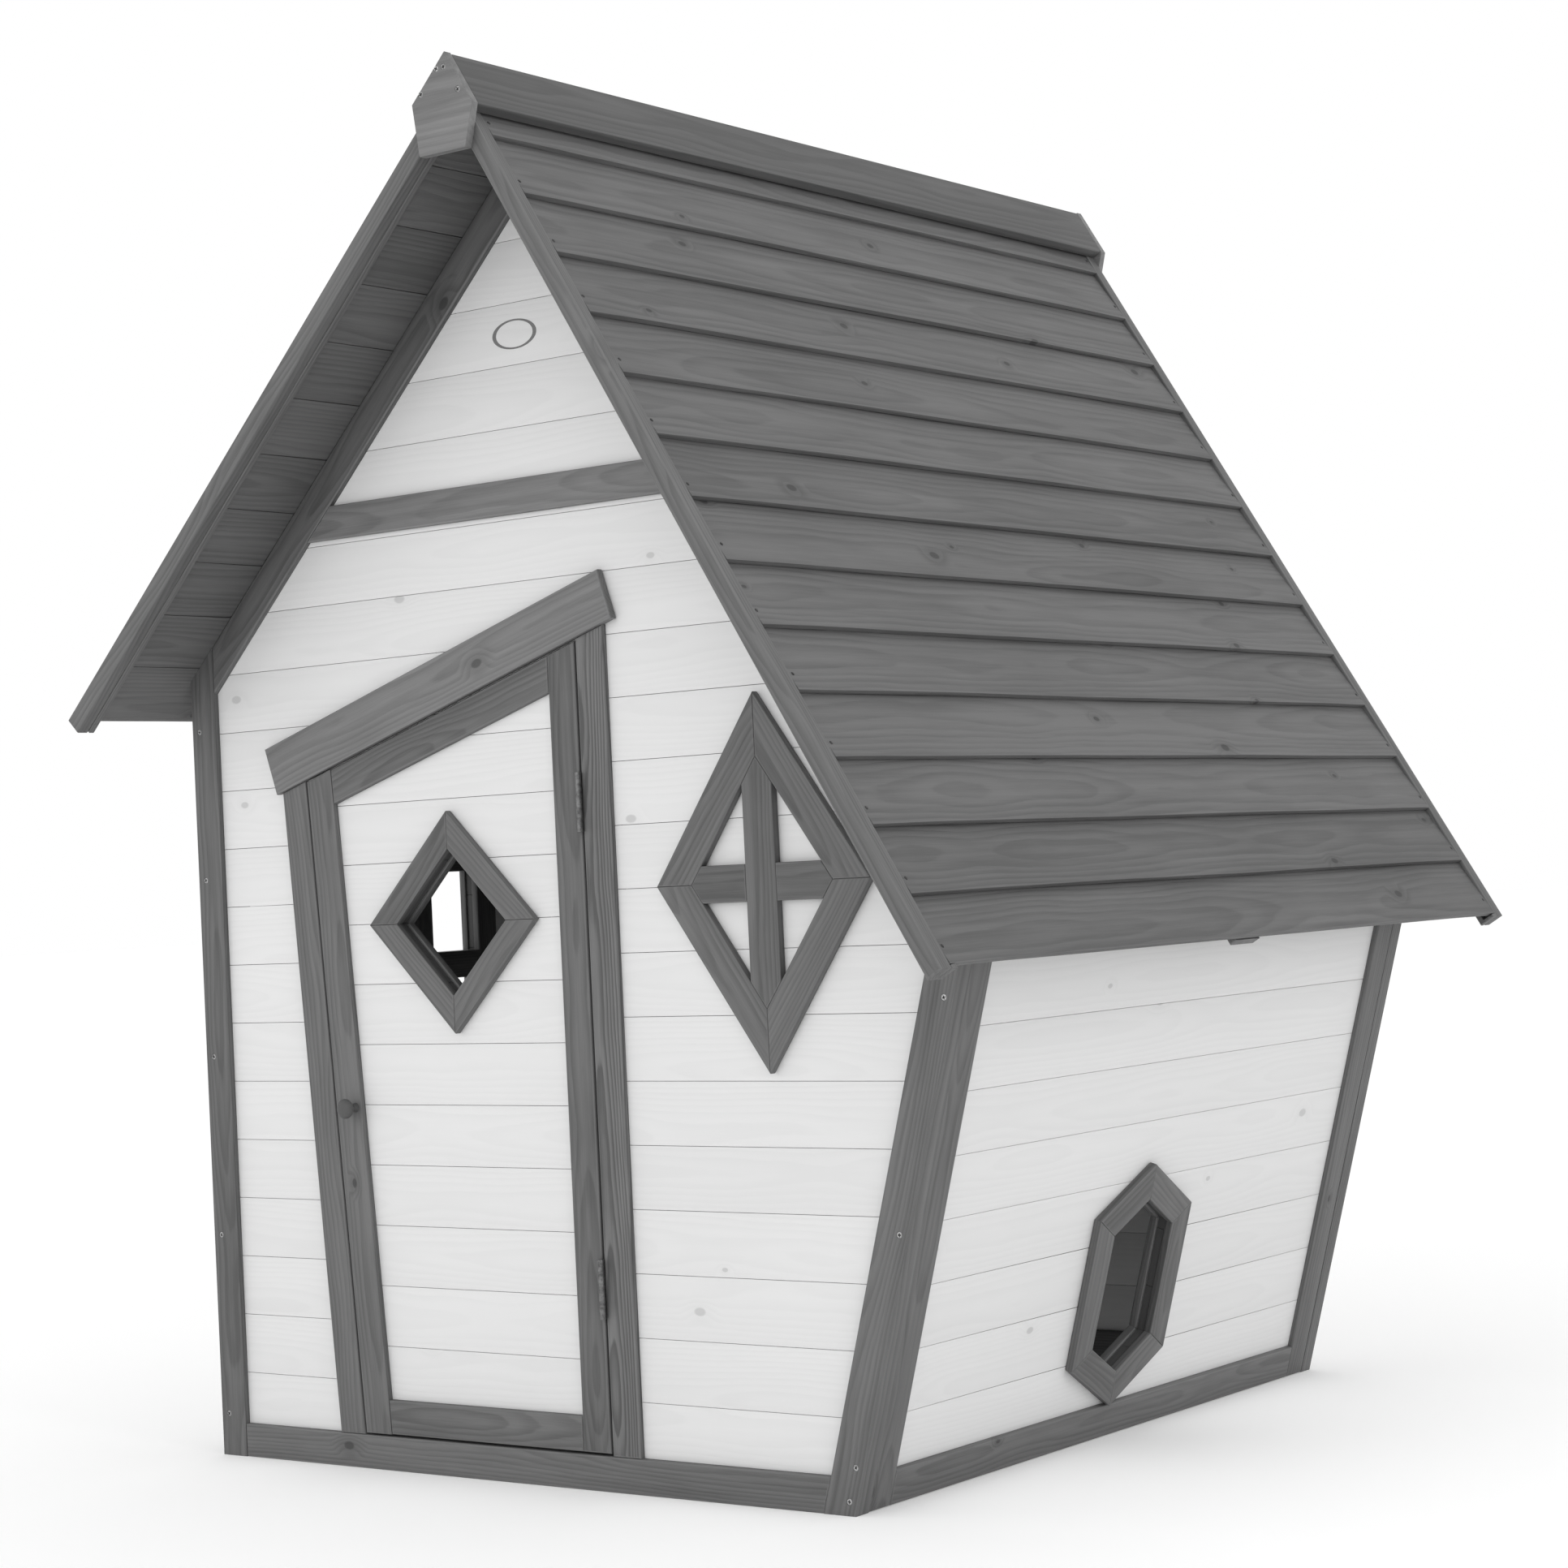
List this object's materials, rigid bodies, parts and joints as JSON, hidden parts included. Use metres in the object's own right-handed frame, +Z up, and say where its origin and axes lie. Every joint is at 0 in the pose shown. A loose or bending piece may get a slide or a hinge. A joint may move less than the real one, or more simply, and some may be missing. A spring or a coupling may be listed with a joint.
{
  "type": "crooked timber playhouse",
  "caption": "Crooked wooden garden playhouse with board-clad framed walls, a steep lapped-board roof, a hinged door with a diamond window, and shaped side windows.",
  "frame": {"origin": "on the ground, midway between the two eaves and midway between the front and back walls", "axes": "+X to the right along the front wall, +Y from the front wall to the back wall, +Z up"},
  "size_m": [1.42, 1.488, 1.7928],
  "materials": {
    "pale_stain": "matt water-based stain over planed softwood",
    "grey_stain": "matt mid-grey stain over planed softwood",
    "roof_stain": "matt dark grey stain over rough softwood boards",
    "ridge_stain": "matt dark grey stain",
    "zinc_steel": "zinc-plated steel"
  },
  "bodies": {
    "house": {"back_boards": "pale_stain", "back_bottom_rail": "grey_stain", "back_crossbeam": "grey_stain", "back_left_barge_board": "grey_stain", "back_left_gable_trim": "grey_stain", "back_left_post": "grey_stain", "back_ridge_cap": "grey_stain", "back_right_barge_board": "grey_stain", "back_right_gable_trim": "grey_stain", "back_right_post": "grey_stain", "door_header": "grey_stain", "door_left_jamb": "grey_stain", "door_right_jamb": "grey_stain", "door_stop": "grey_stain", "front_boards_gable": "pale_stain", "front_boards_left": "pale_stain", "front_boards_over_door": "pale_stain", "front_boards_right": "pale_stain", "front_bottom_rail": "grey_stain", "front_crossbeam": "grey_stain", "front_diamond_bars": "grey_stain", "front_diamond_frame": "grey_stain", "front_left_barge_board": "grey_stain", "front_left_gable_trim": "grey_stain", "front_left_post": "grey_stain", "front_ridge_cap": "grey_stain", "front_right_barge_board": "grey_stain", "front_right_gable_trim": "grey_stain", "front_right_post": "grey_stain", "hinge_jamb_leaves": "zinc_steel", "hinge_pins": "zinc_steel", "left_ridge_board": "ridge_stain", "left_roof_boards": "roof_stain", "left_wall_boards": "pale_stain", "left_wall_rails": "grey_stain", "left_wall_stiles": "grey_stain", "left_window_bar": "grey_stain", "left_window_frame": "grey_stain", "left_window_inner_frame": "grey_stain", "ridge_cap_screws": "zinc_steel", "right_ridge_board": "ridge_stain", "right_roof_boards": "roof_stain", "right_wall_boards": "pale_stain", "right_wall_rails": "grey_stain", "right_wall_stiles": "grey_stain", "right_window_frame": "grey_stain", "right_window_inner_frame": "grey_stain", "roof_mid_battens": "grey_stain", "wall_screws": "zinc_steel"},
    "door": {"door_boards": "pale_stain", "door_bottom_rail": "grey_stain", "door_hinge_stile": "grey_stain", "door_knob": "grey_stain", "door_latch_stile": "grey_stain", "door_top_rail": "grey_stain", "door_window_frame": "grey_stain", "door_window_inner_frame": "grey_stain", "hinge_door_leaves": "zinc_steel", "knob_screw": "zinc_steel"}
  },
  "joints": [
    {"name": "door_swing", "type": "hinge", "parent": "house", "child": "door", "pos_m": [0.06587, -0.5762, 0.5], "axis": [0, 0, 1], "range_deg": [0, 140]}
  ]
}
